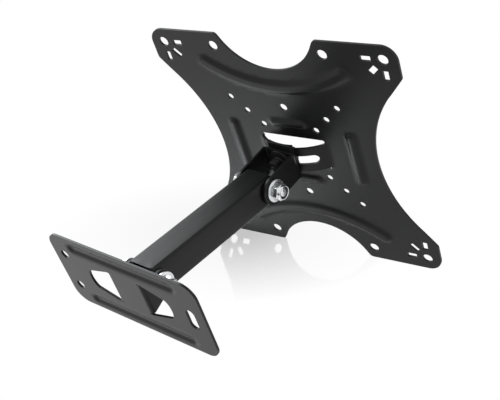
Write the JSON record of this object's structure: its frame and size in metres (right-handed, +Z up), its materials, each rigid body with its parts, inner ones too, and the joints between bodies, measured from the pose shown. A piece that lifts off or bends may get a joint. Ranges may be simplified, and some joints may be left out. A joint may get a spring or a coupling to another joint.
{
  "type": "television wall mount",
  "caption": "Single-arm full-motion television wall mount: slotted wall plate with ears, square swivel arm, yoke, curved tilt bridge and notched screen plate.",
  "frame": {"origin": "centre of the wall plate's back face, where it meets the wall", "axes": "+Y out of the back face into the wall, +Z up along both swivel bolts, X sideways; the arm reaches towards -Y"},
  "size_m": [0.2243, 0.2119, 0.2228],
  "materials": {
    "coated": "fine matt charcoal powder coat",
    "zinc": "bright zinc plate",
    "black_oxide": "satin black oxide",
    "nylon": "matt black nylon"
  },
  "bodies": {
    "base": {"wall_plate": "coated", "wall_swivel_bolt": "zinc", "wall_swivel_head_washer": "zinc", "wall_swivel_nut_washer": "zinc", "wall_swivel_lock_nut": "zinc", "wall_swivel_nut_ring": "nylon"},
    "arm": {"arm_tube": "coated", "wall_sleeve": "zinc", "wall_friction_upper": "nylon", "wall_friction_lower": "nylon", "tv_sleeve": "zinc", "tv_friction_upper": "nylon", "tv_friction_lower": "nylon"},
    "yoke": {"yoke": "coated", "tv_swivel_bolt": "zinc", "tv_swivel_head_washer": "zinc", "tv_swivel_nut_washer": "zinc", "tv_swivel_lock_nut": "zinc", "tv_swivel_nut_ring": "nylon"},
    "clamp": {"saddle": "coated", "clamp_washer": "black_oxide", "tilt_bolt": "black_oxide", "tilt_flat_washer": "black_oxide", "tilt_spring_washer": "black_oxide", "tilt_nut": "black_oxide"},
    "screen": {"screen_plate": "coated"}
  },
  "joints": [
    {"name": "wall_swivel", "type": "hinge", "parent": "base", "child": "arm", "pos_m": [0, -0.018, 0], "axis": [0, 0, 1], "range_deg": [-98.4, 81.6]},
    {"name": "tv_swivel", "type": "hinge", "parent": "arm", "child": "yoke", "pos_m": [0.01928, -0.14858, 0], "axis": [0, 0, 1], "range_deg": [-80.8, 99.2]},
    {"name": "level", "type": "hinge", "parent": "yoke", "child": "clamp", "pos_m": [0.01812, -0.23158, 0], "axis": [0.014, 0.9999, 0], "range_deg": [-5, 5]},
    {"name": "tilt", "type": "hinge", "parent": "clamp", "child": "screen", "pos_m": [0.01812, -0.23158, 0], "axis": [0.9999, -0.014, 0], "range_deg": [-8.5, 21.5]}
  ]
}
